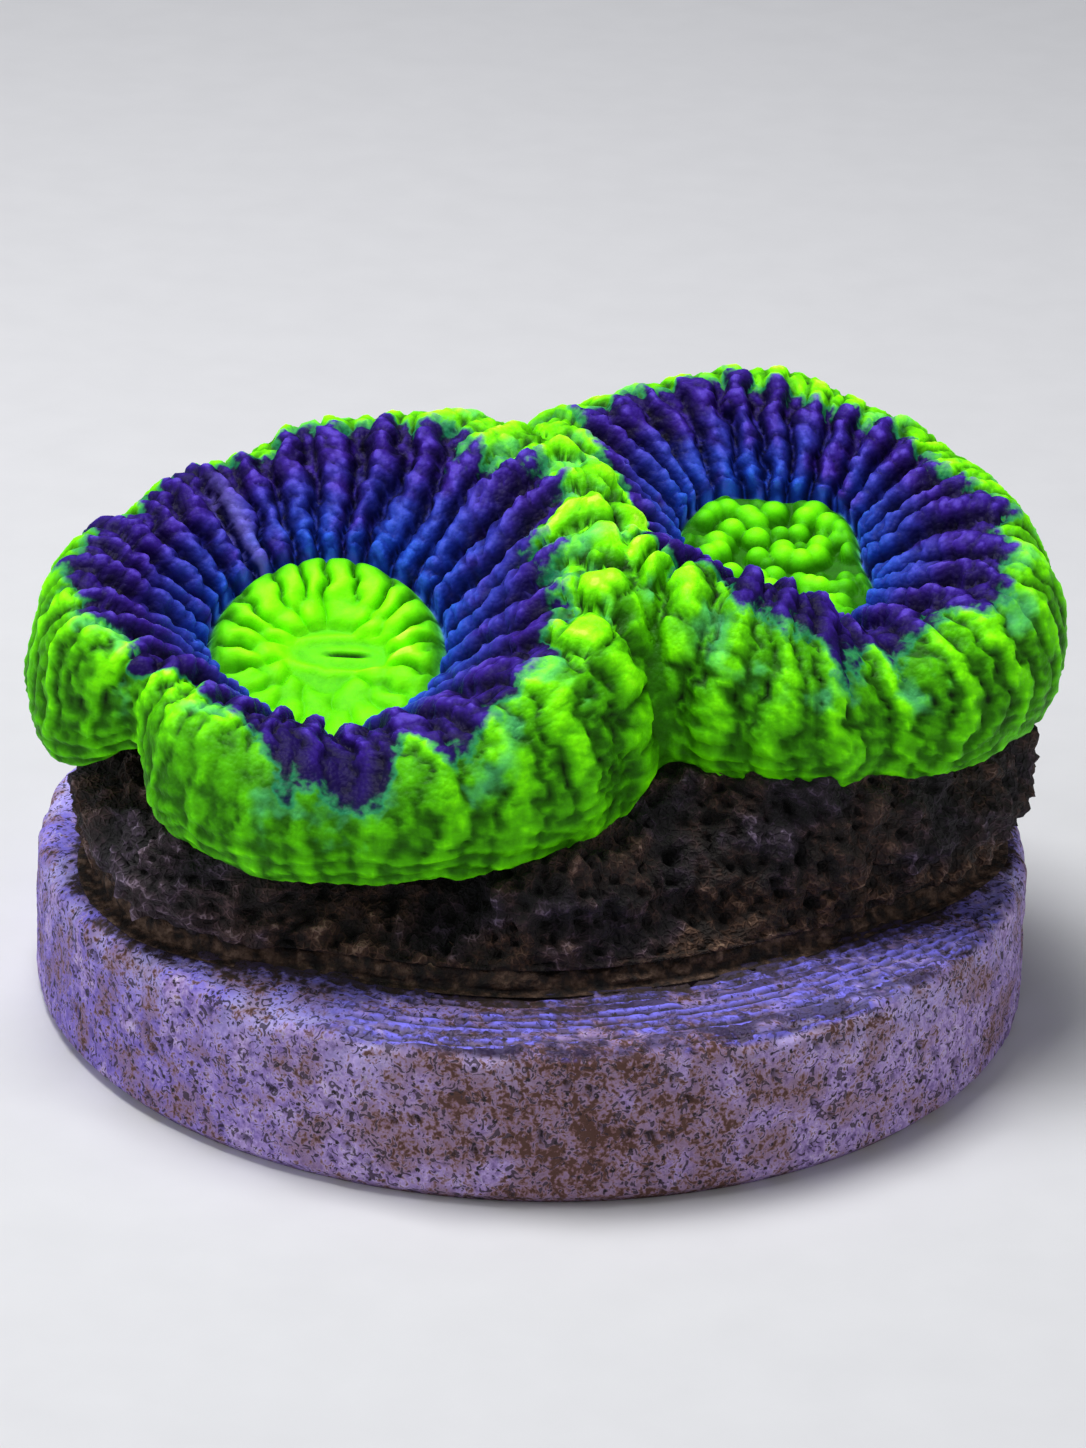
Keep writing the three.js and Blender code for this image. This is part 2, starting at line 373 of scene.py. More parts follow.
@dataclass
class Relief:
    """A Geometry Nodes tree that pushes a piece's surface in and out along its normals.

    Attributes:
        name: The tree's name.
        sizes: Its named inputs, with their values.
    """

    name: str
    sizes: dict[str, float]
    tree: bpy.types.NodeTree = field(init=False)
    source: bpy.types.Node = field(init=False)
    place: Socket = field(init=False)

    def __post_init__(self) -> None:
        """Opens the tree with its inputs and the surface's place in millimetres."""
        self.tree = bpy.data.node_groups.new(self.name, "GeometryNodeTree")
        face = self.tree.interface
        face.new_socket(name="Geometry", in_out="INPUT", socket_type="NodeSocketGeometry")
        for name, value in self.sizes.items():
            socket = face.new_socket(name=name, in_out="INPUT", socket_type="NodeSocketFloat")
            socket.default_value = value
        face.new_socket(name="Geometry", in_out="OUTPUT", socket_type="NodeSocketGeometry")
        self.source = add_node(self.tree, "NodeGroupInput")
        place = add_node(self.tree, "GeometryNodeInputPosition")
        scaled = {"Vector": place.outputs[0], "Scale": 1 / MM}
        self.place = add_node(self.tree, VECTOR_MATHS, scaled, operation="SCALE").outputs[0]

    def size(self, name: str) -> Socket:
        """The socket of a named input."""
        return self.source.outputs[name]

    def given(self, name: str) -> Socket:
        """The socket of an attribute that the mesh carries."""
        kind = "GeometryNodeInputNamedAttribute"
        return add_node(self.tree, kind, {"Name": name}, data_type="FLOAT").outputs[0]

    def values(self, *marks: str) -> dict[str, Socket]:
        """Gathers what a formula may need: the mesh's attributes and the tree's own inputs.

        Args:
            marks: The attributes to read.

        Returns:
            The sockets by name, in small letters and with an underscore for a space.
        """
        found = {name: self.given(name) for name in marks}
        return found | {name.lower().replace(" ", "_"): self.size(name) for name in self.sizes}

    def texture(self, kind: str, size: float, **inputs: float) -> Socket:
        """Adds a noise or cell texture whose features are a real size, in millimetres."""
        return texture(self.tree, kind, self.place, size, inputs)

    def shape(
        self, piece: bpy.types.Object, height: Socket, kept: dict[str, Socket], finish: bpy.types.Material
    ) -> None:
        """Ends the tree, runs it on a piece and leaves the piece as a plain mesh.

        Args:
            piece: The object to shape.
            height: How far each point moves outwards, in millimetres.
            kept: Values to leave on the mesh for its material, by name.
            finish: The piece's material.
        """
        tree = self.tree
        shape = self.source.outputs["Geometry"]
        for name, value in kept.items():
            shape = add_node(
                tree,
                "GeometryNodeStoreNamedAttribute",
                {"Geometry": shape, "Name": name, "Value": value},
                data_type="FLOAT",
                domain="POINT",
            ).outputs[0]
        normal = add_node(tree, "GeometryNodeInputNormal").outputs[0]
        metres = formula(tree, "height * mm", height=height, mm=MM)
        push = add_node(tree, VECTOR_MATHS, {"Vector": normal, "Scale": metres}, operation="SCALE").outputs[0]
        moved = add_node(tree, "GeometryNodeSetPosition", {"Geometry": shape, "Offset": push}).outputs[0]
        plain = add_node(tree, "GeometryNodeRealizeInstances", {"Geometry": moved}).outputs[0]
        dressed = add_node(tree, "GeometryNodeSetMaterial", {"Geometry": plain, "Material": finish})
        add_node(tree, "NodeGroupOutput", [dressed.outputs[0]])
        modifier = piece.modifiers.new(self.name, "NODES")
        modifier.node_group = tree
        for item in tree.interface.items_tree:
            if item.in_out == "INPUT" and item.name in self.sizes:
                modifier[item.identifier] = self.sizes[item.name]
        state = bpy.context.evaluated_depsgraph_get()
        seen = piece.evaluated_get(state)
        made = bpy.data.meshes.new_from_object(seen, preserve_all_data_layers=True, depsgraph=state)
        made.name = piece.name
        piece.modifiers.remove(modifier)
        piece.data = made
        made.shade_smooth()


# ---------------------------------------------------------------- finishes


@dataclass(frozen=True)
class Finish:
    """A material to be built: its name and the values of its surface shader."""

    name: str
    roughness: float
    ior: float

    def begin(self) -> tuple[bpy.types.Material, bpy.types.NodeTree, bpy.types.Node, Socket]:
        """Opens the material.

        Returns:
            The material, its node tree, its surface shader and the place on the piece in millimetres.
        """
        material = bpy.data.materials.new(self.name)
        material.use_nodes = True
        tree = material.node_tree
        tree.nodes.clear()
        surface = add_node(tree, "ShaderNodeBsdfPrincipled", {"Roughness": self.roughness, "IOR": self.ior})
        add_node(tree, "ShaderNodeOutputMaterial", {"Surface": surface.outputs[0]})
        place = add_node(tree, "ShaderNodeTexCoord").outputs["Object"]
        scaled = {"Vector": place, "Scale": 1 / MM}
        place = add_node(tree, VECTOR_MATHS, scaled, operation="SCALE").outputs[0]
        return material, tree, surface, place


def reading(tree: bpy.types.NodeTree, *names: str) -> dict[str, Socket]:
    """Reads values that a mesh carries, by name, into a shader tree."""
    found = {name: add_node(tree, "ShaderNodeAttribute", attribute_name=name) for name in names}
    return {name: node.outputs["Fac"] for name, node in found.items()}


@dataclass(frozen=True)
class LivingTissue(Finish):
    """Living coral flesh: wet and finely beaded, fluorescent green outside and indigo in the bowls, with a
    painted glow over all of it.

    To the eye it is soft and saturated; it is painted lighter on every crest and nearly black in the creases,
    a painted highlight and painted shade.
    """

    name: str = "living coral tissue, wet and beaded"
    roughness: float = 0.58
    ior: float = 1.36
    painted_glow: float = 0.42  # painted glow, standing in for the flesh's fluorescence: it emits its own colour at this strength in any light
    shine: float = 0.22  # it is wet, but too finely beaded to mirror much
    patch: float = 4 / 3  # millimetres across a patch of colour
    fleck: float = 5 / 16  # millimetres across a fleck within a patch
    granule: float = 0.13  # millimetres, the beads too fine to model
    slime: float = 1 / 12  # millimetres, the grain of the skin between them
    bleed: float = 0.6  # millimetres that light travels under the skin

    def build(self) -> bpy.types.Material:
        """Builds the material.

        Returns:
            The material.
        """
        material, tree, surface, place = self.begin()
        read = reading(tree, "along", "band", "crest", "oral", "foot", "lilac", "under", "luck")
        read["patches"] = texture(tree, NOISE, place, self.patch, {"Detail": 3.0})
        read["mottle"] = texture(tree, NOISE, place, self.fleck, {"Detail": 4.0})
        # painted highlight and shade: the crest mark makes every crest lighter and every crease near black,
        # and the tone also darkens down the outer wall
        light = "crest * 1.08 + (mottle - 0.5) * 0.26 - 0.05 - 0.23 * smooth(5.8, 9, along)"
        tone = formula(tree, light, **read)
        edge = "band + (patches - 0.5) * 1.8 + mottle - 0.5 + (crest - 0.5) * 0.6 + (luck - 0.5) * 0.9"
        read["edge"] = formula(tree, edge, **read)
        # from painted shade in the creases to painted highlight on the crests
        green = {0: "#082000", 0.25: "#246200", 0.5: "#4cae00", 0.72: "#76ec00", 0.9: "#9eff14", 1: "#c0ff44"}
        oral = {0: "#0f3400", 0.25: "#287600", 0.5: "#52c400", 0.75: "#78f200", 0.92: "#9cff14", 1: "#bcff3c"}
        violet = {0: "#02010c", 0.35: "#0c0330", 0.62: "#1c0b52", 0.85: "#30187e", 1: "#4e38ac"}
        blue = {0: "#02061c", 0.4: "#08185a", 0.7: "#102e8e", 1: "#2854c4"}
        palette = {"green": green, "oral": oral, "violet": violet, "blue": blue}
        shade = {
            name: add_node(tree, RAMP, [tone], stops=stops).outputs[0] for name, stops in palette.items()
        }
        coats = [
            ("foot * smooth(0.35, 0.65, patches + 0.1)", shade["blue"]),
            ("0.4 * lilac * smooth(0.3, 0.8, crest)", linear("#8078d4")),
            ("smooth(0 - 0.2, 0.3, 0 - edge)", shade["green"]),
            ("0.45 * exp(0 - ((edge + 0.08) / 0.15) ** 2)", linear("#178a68")),
            ("0.4 * exp(0 - ((edge + 0.7) / 0.45) ** 2) * smooth(0.52, 0.64, patches)", linear("#5cd084")),
            ("oral", shade["oral"]),
            # painted shade: the underside below the margin near black-green
            ("under", linear("#0d1a06")),
        ]
        shares = [(formula(tree, text, **read), colour) for text, colour in coats]
        flesh = coated(tree, shade["violet"], shares)
        tree.links.new(flesh, surface.inputs["Base Color"])
        # painted glow: the flesh also emits its own colour, with its painted highlights and shade
        tree.links.new(flesh, surface.inputs["Emission Color"])
        surface.inputs["Emission Strength"].default_value = self.painted_glow
        surface.inputs["Specular IOR Level"].default_value = self.shine
        surface.inputs["Subsurface Weight"].default_value = 0.12
        surface.inputs["Subsurface Radius"].default_value = (0.3, 0.6, 0.2)
        surface.inputs["Subsurface Scale"].default_value = self.bleed * MM
        read["cells"] = texture(tree, CELLS, place, self.granule)
        read["grain"] = texture(tree, NOISE, place, self.slime, {"Detail": 3.0})
        rise = formula(tree, "(0.6 - cells) * (1 - oral * 0.85) + grain * 0.5", **read)
        bump = add_node(tree, BUMP, {"Strength": 0.55, "Distance": 0.05 * MM, "Height": rise})
        tree.links.new(bump.outputs[0], surface.inputs["Normal"])
        return material


@dataclass(frozen=True)
class BareSkeleton(Finish):
    """Old aragonite skeleton, pitted and grown over with a dark purple-brown film of algae.

    To the eye it is matt and nearly black and browner towards its foot; it is painted paler on what stands
    proud and on its knob, a painted highlight, and darker in its pores and hollow, painted shade.
    """

    name: str = "aragonite skeleton under coralline film"
    roughness: float = 0.85
    ior: float = 1.55
    stain: float = 20 / 9  # millimetres across a brown stain
    fleck: float = 2 / 7  # millimetres across a fleck of the film
    cell: float = 0.2  # millimetres across one cell of its lace, and across one fine pore
    grit: float = 1 / 9  # millimetres across its grit

    def build(self) -> bpy.types.Material:
        """Builds the material.

        Returns:
            The material.
        """
        material, tree, surface, place = self.begin()
        read = reading(tree, "proud", "low", "knob", "recess")
        read["stain"] = texture(tree, NOISE, place, self.stain, {"Detail": 3.0})
        read["mottle"] = texture(tree, NOISE, place, self.fleck, {"Detail": 5.0})
        read["lace"] = texture(tree, CELLS, place, self.cell, feature="DISTANCE_TO_EDGE")
        # painted highlight and shade: paler where the relief stands proud and on the knob, darker in pores
        # and in the hollow's recess, and a little lighter towards the foot
        light = (
            "proud * 0.62 + mottle * 0.6 - 0.26 + 0.16 * knob - 0.3 * recess + 0.12 * low"
            " + 0.22 * smooth(0.25, 0.03, lace) * smooth(0.4, 0.6, mottle)"
        )
        tone = formula(tree, light, **read)
        purple = {0: "#040304", 0.4: "#130d13", 0.65: "#2c202e", 0.85: "#4f3f54", 1: "#8f7d99"}
        brown = {0: "#070403", 0.4: "#21140d", 0.65: "#452c1e", 0.85: "#684a38", 1: "#947660"}
        dark, warm = (add_node(tree, RAMP, [tone], stops=stops).outputs[0] for stops in (purple, brown))
        browned = (
            "min(1, smooth(0.4, 0.56, stain) * 0.85 + low * 0.8 * smooth(0.3, 0.5, stain)) * (1 - 0.8 * knob)"
        )
        share = formula(tree, browned, **read)
        tree.links.new(coated(tree, dark, [(share, warm)]), surface.inputs["Base Color"])
        read["grit"] = texture(tree, NOISE, place, self.grit, {"Detail": 5.0})
        read["pores"] = texture(tree, CELLS, place, self.cell)
        rise = formula(tree, "grit + smooth(0.1, 0.35, pores) * 0.5 + 1.2 * smooth(0.22, 0.02, lace)", **read)
        bump = add_node(tree, BUMP, {"Strength": 0.8, "Distance": 0.12 * MM, "Height": rise})
        tree.links.new(bump.outputs[0], surface.inputs["Normal"])
        return material


@dataclass(frozen=True)
class FilmedGlue(Finish):
    """Set gel glue under a felt of brown algae: to the eye it is dull, dark and fuzzy."""

    name: str = "set gel glue under algae felt"
    roughness: float = 0.7
    ior: float = 1.48
    tuft: float = 5 / 16  # millimetres across a tuft of the felt
    fuzz: float = 0.1  # millimetres across its finest fuzz

    def build(self) -> bpy.types.Material:
        """Builds the material.

        Returns:
            The material.
        """
        material, tree, surface, place = self.begin()
        tufts = texture(tree, NOISE, place, self.tuft, {"Detail": 6.0})
        felt = {0.3: "#0c0705", 0.44: "#281910", 0.55: "#4c3526", 0.7: "#7d6352"}
        shade = add_node(tree, RAMP, [tufts], stops=felt).outputs[0]
        tree.links.new(shade, surface.inputs["Base Color"])
        rise = texture(tree, NOISE, place, self.fuzz, {"Detail": 6.0})
        bump = add_node(tree, BUMP, {"Strength": 0.9, "Distance": 0.15 * MM, "Height": rise})
        tree.links.new(bump.outputs[0], surface.inputs["Normal"])
        return material


@dataclass(frozen=True)
class PressedCeramic(Finish):
    """Unglazed ceramic, pressed and fired, and stained since by algae.

    To the eye it is chalky and full of pinholes and lavender under brown stains; its top is painted bluer as
    a painted highlight, and its rubbed upper edge paler, partly a painted highlight.
    """

    name: str = "pressed unglazed ceramic, stained"
    roughness: float = 0.8
    ior: float = 1.52
    stain: float = 10 / 9  # millimetres across a stain
    mottle: float = 2 / 7  # millimetres across a fleck of tone
    speckle: float = 1 / 9  # millimetres across the finest specks
    grain: float = 0.2  # millimetres along one worm-like grain of the pressing
    pinhole: float = 0.34  # millimetres between the finest pinholes

    def build(self) -> bpy.types.Material:
        """Builds the material.

        Returns:
            The material.
        """
        material, tree, surface, place = self.begin()
        read = reading(tree, "pit", "streak", "scrape", "worn", "film", "top", "line")
        read["patches"] = texture(tree, NOISE, place, self.stain, {"Detail": 5.0})
        read["mottle"] = texture(tree, NOISE, place, self.mottle, {"Detail": 5.0})
        read["speckle"] = texture(tree, NOISE, place, self.speckle, {"Detail": 2.0})
        read["grain"] = texture(tree, NOISE, place, self.grain, {"Detail": 1.0, "Distortion": 1.4})
        read["hole"] = texture(tree, CELLS, place, self.pinhole)
        split = add_node(tree, SPLIT, [place])
        read |= {"x": split.outputs[0], "y": split.outputs[1]}
        tone = formula(tree, "mottle * 0.7 + speckle * 0.5 - 0.1", **read)
        lavender = {0.25: "#5c4678", 0.42: "#9c80c0", 0.58: "#c8aee8", 0.8: "#f4eaff"}
        ground = add_node(tree, RAMP, [tone], stops=lavender).outputs[0]
        read["front"] = formula(tree, "exp(0 - ((x - 1.5) / 4) ** 2) * smooth(0 - 6, 0 - 10, y)", **read)
        grime = "mottle * 0.25 + grain * 0.25 + speckle * 0.25 + patches * 0.25 + 0.055 * front"
        read["grime"] = formula(tree, grime, **read)
        film = "smooth(0.28, 0.6, film + (mottle - 0.5) * 1.2 + (patches - 0.5) * 0.8) * 0.92"
        coats = [
            ("0.6 * smooth(3, 12, 0.8 * abs(x) - 0.3 * x) * smooth(0.3, 0.55, patches)", linear("#5a4cdc")),
            # painted highlight: the top face painted bluer and lighter
            ("top * smooth(0.3, 0.5, patches) * 0.75", linear("#8a80ff")),
            # the rubbed upper edge painted paler: real wear and a painted highlight
            ("worn * smooth(0.3, 0.5, patches) * 0.9", linear("#c8beff")),
            ("smooth(0.62, 0.7, grain) * 0.35", linear("#e4dcf6")),
            ("smooth(0.46, 0.64, patches + 0.2 * front) * 0.6", linear("#9c7c84")),
            ("smooth(0.52, 0.57, grime) * 0.75", linear("#7c5038")),
            ("smooth(0.56, 0.6, grime) * 0.85", linear("#4a260f")),
            ("streak * 0.85", linear("#221850")),
            ("streak * smooth(0.44, 0.54, line + (mottle - 0.5) * 0.9) * 0.97", linear("#847cff")),
            ("smooth(0.4, 0.365, grain) * 0.85 * (1 - 0.6 * streak)", linear("#2c1a22")),
            ("scrape * 0.95", linear("#0e0828")),
            ("smooth(0.24, 0.14, hole) * smooth(0.42, 0.52, speckle)", linear("#241620")),
            ("pit * 0.9", linear("#21161f")),
            (film, linear("#2c1c13")),
        ]
        shares = [(formula(tree, text, **read), colour) for text, colour in coats]
        tree.links.new(coated(tree, ground, shares), surface.inputs["Base Color"])
        rise = formula(tree, "mottle * 0.6 + speckle * 0.4 + smooth(0.34, 0.44, grain)", **read)
        bump = add_node(tree, BUMP, {"Strength": 0.7, "Distance": 0.08 * MM, "Height": rise})
        tree.links.new(bump.outputs[0], surface.inputs["Normal"])
        return material


@dataclass(frozen=True)
class StudioPaper(Finish):
    """A roll of matt backdrop paper: pale, even and without shine."""

    name: str = "matt backdrop paper"
    roughness: float = 0.9
    ior: float = 1.5
    fibre: float = 2.0  # millimetres across a clump of fibres

    def build(self) -> bpy.types.Material:
        """Builds the material.

        Returns:
            The material.
        """
        material, tree, surface, place = self.begin()
        clumps = texture(tree, NOISE, place, self.fibre, {"Detail": 4.0})
        pale = {0.3: "#dedee1", 0.7: "#e1e1e4"}
        shade = add_node(tree, RAMP, [clumps], stops=pale).outputs[0]
        tree.links.new(shade, surface.inputs["Base Color"])
        return material


# ---------------------------------------------------------------- the coral


@dataclass(frozen=True)
class Polyp:
    """One fleshy bowl. Directions are every 30 degrees, from +X towards +Y, as in the CAD part.

    Attributes:
        mouth: The middle of the oral disc, in plan.
        mouth_height: The height of the mouth.
        disc_tilt: Rise of the oral disc towards the back, per millimetre.
        disc_radius: Of the oral disc, by direction.
        rim_radius: Out to the crest of the rolled rim, by direction.
        rim_height: Height of the rim's crest, by direction.
        skirt_radius: Out to the widest part of the outer wall, by direction.
        skirt_height: Height of the flesh's lower edge, by direction.
        pinches: Creases across the wall: direction, width in degrees, depth, lift and dip.
        band: How far out the indigo reaches, as a row of the section, by direction.
        tongues: Where it reaches further, or less far: direction, width in degrees, and rows.
        number: 0 for the lower polyp and 1 for the upper one.
        disc_lip: Rise from the mouth to the oral disc's edge.
        columns: Points round the bowl.
        core_depth: How far below the mouth the bowl is closed, inside the skeleton.
        steps: Rows of points from each landmark of the section to the next.
    """

    mouth: tuple[float, float]
    mouth_height: float
    disc_tilt: float
    disc_radius: list[float]
    rim_radius: list[float]
    rim_height: list[float]
    skirt_radius: list[float]
    skirt_height: list[float]
    pinches: list[tuple[float, float, float, float, float]]
    band: list[float]
    tongues: list[tuple[float, float, float]]
    number: int
    disc_lip: float = 0.25
    columns: int = 344
    core_depth: float = 2.4
    steps: tuple[int, ...] = (20, 13, 15, 15, 15, 12, 12, 12, 11, 10, 8, 5, 3)

    def section(self, angle: np.ndarray) -> np.ndarray:
        """Sets out the section's landmarks in every direction.

        Args:
            angle: The directions, in radians.

        Returns:
            Landmark by direction by radius and height.
        """
        depth, lift, dip = (
            sum(near(angle, pinch[0], pinch[1]) * pinch[k] for pinch in self.pinches) for k in (2, 3, 4)
        )
        disc = keyed(self.disc_radius, angle)
        rim = keyed(self.rim_radius, angle) - 0.6 * depth
        top = keyed(self.rim_height, angle) - dip
        skirt = keyed(self.skirt_radius, angle) - depth
        edge = keyed(self.skirt_height, angle) + lift
        slope = self.disc_tilt * disc * np.sin(angle)
        lip = self.mouth_height + self.disc_lip + slope
        flat = np.zeros_like(angle)

        def inside(out: float, up: float) -> tuple[np.ndarray, np.ndarray]:
            """A point in the bowl: shares of the way from the oral disc's edge to the rim."""
            return disc + out * (rim - disc), lip + up * (top - lip)

        def outside(out: float, up: float) -> tuple[np.ndarray, np.ndarray]:
            """A point on the wall: shares of the way from the rim out to the skirt, and up to the rim."""
            return rim + out * (skirt - rim), edge + up * (top - edge)

        landmarks = {
            Row.MOUTH: (flat, flat + self.mouth_height),
            Row.DISC_MIDDLE: (0.55 * disc, self.mouth_height + 0.55 * slope),
            Row.DISC_EDGE: (disc, lip),
            Row.BOWL_FOOT: inside(0.2, 0.22),
            Row.BOWL_SIDE: inside(0.52, 0.66),
            Row.BOWL_LIP: inside(0.8, 0.94),
            Row.RIM: (rim, top),
            Row.SHOULDER: outside(0.42, 0.95),
            Row.UPPER_WALL: outside(0.78, 0.76),
            Row.SKIRT: outside(0.98, 0.46),
            Row.LOWER_WALL: outside(0.98, 0.18),
            Row.MARGIN: (skirt - 0.5, edge),
            Row.TUCK: (skirt - 2.2, edge + 0.35),
            Row.CORE: (flat, flat + self.mouth_height - self.core_depth),
        }
        return np.array([np.stack(landmarks[row], axis=-1) for row in Row])

    def solid(self) -> tuple[bpy.types.Object, dict[str, np.ndarray]]:
        """Makes the bare bowl and what each of its points needs to know about its own place.

        Returns:
            The object, and its values by name.
        """
        turns = 2 * np.pi * np.arange(self.columns) / self.columns
        rows, places = flow(self.section(turns), self.steps)
        piece = turned_solid(f"polyp_{self.number}", self.mouth, rows)
        along = ring_values(places, self.columns)
        xyz = points_of(piece.data)
        east, north = xyz[:, 0] - self.mouth[0], xyz[:, 1] - self.mouth[1]
        turn = np.arctan2(north, east)
        further = sum(near(turn, at, width) * much for at, width, much in self.tongues)
        paces = np.linalg.norm(np.diff(rows, axis=0), axis=-1)
        run = np.cumsum(np.concatenate([np.zeros((1, self.columns)), paces]), axis=0)[1:-1].ravel()
        return piece, {
            "run": np.concatenate([[0.0], run, [0.0]]),
            "turn": turn,
            "along": along,
            "reach": np.hypot(east, north) / keyed(self.disc_radius, turn),
            "side": np.full(len(along), float(self.number)),
            "band": keyed(self.band, turn) + further - along,
        }


LOWER_POLYP = Polyp(
    mouth=(-5.2, -2.2),
    mouth_height=9.45,
    disc_tilt=0.45,
    disc_radius=[2.8, 2.75, 2.7, 2.7, 2.7, 2.75, 2.8, 2.7, 2.6, 3.1, 2.8, 2.75],
    rim_radius=[6.6, 7.0, 6.8, 6.1, 5.7, 5.5, 5.9, 6.1, 5.5, 4.9, 6.2, 7.0],
    rim_height=[12.7, 13.2, 13.4, 13.1, 12.5, 12.1, 11.7, 11.0, 10.2, 9.8, 10.2, 11.6],
    skirt_radius=[8.6, 8.6, 8.4, 7.6, 7.2, 6.9, 7.0, 7.3, 7.0, 7.6, 8.1, 8.8],
    skirt_height=[8.2, 8.2, 8.0, 8.0, 8.0, 8.0, 7.7, 7.4, 7.1, 6.8, 6.9, 7.5],
    pinches=[(221, 12, 1.3, 1.1, 0.15), (277, 8, 0.3, 0.0, 0.45)],
    band=[4.5, 4.8, 5.2, 5.5, 5.8, 6.7, 6.5, 5.0, 5.2, 7.6, 6.6, 5.3],
    tongues=[(219, 6, 2.2), (238, 6, 0.7), (262, 12, 0.6), (281, 6, 0.5), (291, 3.5, -1.1), (301, 6, 0.9)],
    number=0,
)
UPPER_POLYP = Polyp(
    mouth=(5.9, 1.4),
    mouth_height=10.75,
    disc_tilt=0.25,
    disc_radius=[2.0, 2.2, 2.6, 2.4, 2.8, 2.6, 2.35, 2.3, 2.3, 2.5, 3.1, 2.6],
    rim_radius=[5.2, 4.7, 4.9, 5.3, 5.8, 6.1, 4.9, 4.9, 4.9, 4.5, 5.3, 6.0],
    rim_height=[12.6, 12.7, 13.3, 13.7, 13.6, 13.3, 13.0, 12.8, 12.4, 11.9, 11.2, 11.8],
    skirt_radius=[6.8, 6.5, 6.7, 6.9, 7.3, 7.7, 6.6, 6.8, 7.4, 7.4, 7.6, 7.6],
    skirt_height=[8.6, 8.8, 8.8, 8.8, 8.6, 8.4, 8.3, 8.3, 8.2, 8.0, 8.0, 8.2],
    pinches=[(292, 8, 0.4, 0.0, 0.5)],
    band=[6.2, 5.7, 5.3, 5.3, 5.8, 5.3, 4.7, 5.2, 6.0, 6.9, 6.5, 6.2],
    tongues=[(285, 5, 0.9), (291, 3, -0.6), (297, 5, 0.6), (312, 5, -0.6)],
    number=1,
)


